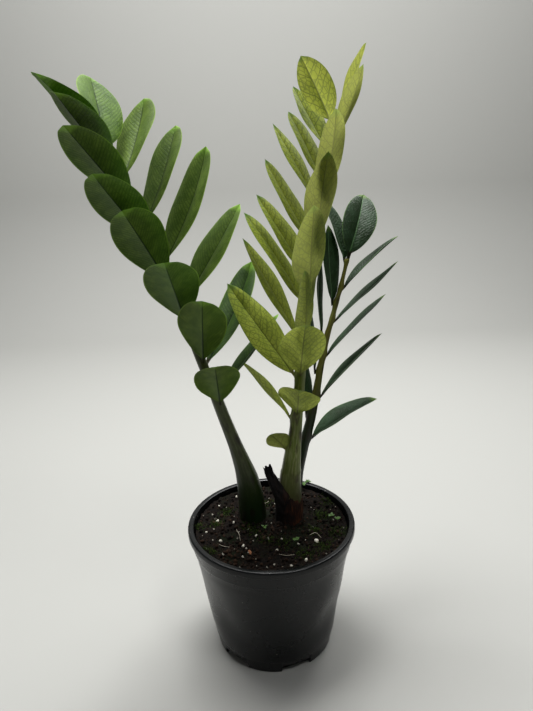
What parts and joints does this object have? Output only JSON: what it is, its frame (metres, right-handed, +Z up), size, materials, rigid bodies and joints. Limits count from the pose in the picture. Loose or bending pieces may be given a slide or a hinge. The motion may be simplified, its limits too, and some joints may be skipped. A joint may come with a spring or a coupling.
{
  "type": "potted zz plant",
  "caption": "Young zz plant: fronds of separate glossy leaflets on thick stems, standing in dark peat in a plain dark plastic nursery pot with drain slots.",
  "frame": {"origin": "centre of the pot's underside", "axes": "+Z up along the pot's axis; -Y towards the front of the plant, +X to its right"},
  "size_m": [0.2016, 0.1439, 0.4026],
  "materials": {
    "pot_plastic": "injection-moulded dark grey-black polypropylene, satin, lightly scuffed and dusty",
    "peat": "moist crumbly peat potting mix with perlite grains and a little moss",
    "stem_dark": "living fleshy stem, dark green with brown mottling, satin",
    "stem_bright": "living fleshy stem, olive green with brown mottling, satin",
    "dried_sheath": "dried papery leaf sheath, dark brown, fibrous",
    "leaf_dark": "living waxy leaf, dark green, glossy above and satin below",
    "leaf_bright": "living waxy young leaf, yellow-green, glossy above and satin below",
    "leaf_rear": "living waxy leaf, very dark green, glossy above and satin below"
  },
  "bodies": {
    "root": {"pot": "pot_plastic", "soil": "peat", "stem_left": "stem_dark", "stem_middle": "stem_bright", "stem_rear": "stem_dark", "dried_sheath": "dried_sheath", "leaf_left_front_1": "leaf_dark", "leaf_left_front_2": "leaf_dark", "leaf_left_front_3": "leaf_dark", "leaf_left_front_4": "leaf_dark", "leaf_left_front_5": "leaf_dark", "leaf_left_front_6": "leaf_dark", "leaf_left_front_7": "leaf_dark", "leaf_left_front_8": "leaf_dark", "leaf_left_back_1": "leaf_dark", "leaf_left_back_2": "leaf_dark", "leaf_left_back_3": "leaf_dark", "leaf_left_back_4": "leaf_dark", "leaf_left_back_5": "leaf_dark", "leaf_left_back_6": "leaf_dark", "leaf_left_back_7": "leaf_dark", "leaf_middle_back_1": "leaf_bright", "leaf_middle_back_2": "leaf_bright", "leaf_middle_back_3": "leaf_bright", "leaf_middle_back_4": "leaf_bright", "leaf_middle_back_5": "leaf_bright", "leaf_middle_back_6": "leaf_bright", "leaf_middle_back_7": "leaf_bright", "leaf_middle_back_8": "leaf_bright", "leaf_middle_back_9": "leaf_bright", "leaf_middle_back_10": "leaf_bright", "leaf_middle_back_11": "leaf_bright", "leaf_middle_front_1": "leaf_bright", "leaf_middle_front_2": "leaf_bright", "leaf_middle_front_3": "leaf_bright", "leaf_middle_front_4": "leaf_bright", "leaf_middle_front_5": "leaf_bright", "leaf_middle_front_6": "leaf_bright", "leaf_middle_front_7": "leaf_bright", "leaf_middle_front_8": "leaf_bright", "leaf_rear_back_1": "leaf_rear", "leaf_rear_back_2": "leaf_rear", "leaf_rear_back_3": "leaf_rear", "leaf_rear_back_4": "leaf_rear", "leaf_rear_back_5": "leaf_rear", "leaf_rear_front_1": "leaf_rear", "leaf_rear_front_2": "leaf_rear", "leaf_rear_front_3": "leaf_rear", "leaf_rear_front_4": "leaf_rear", "leaf_rear_front_5": "leaf_rear", "leaf_rear_front_6": "leaf_rear"}
  },
  "joints": []
}
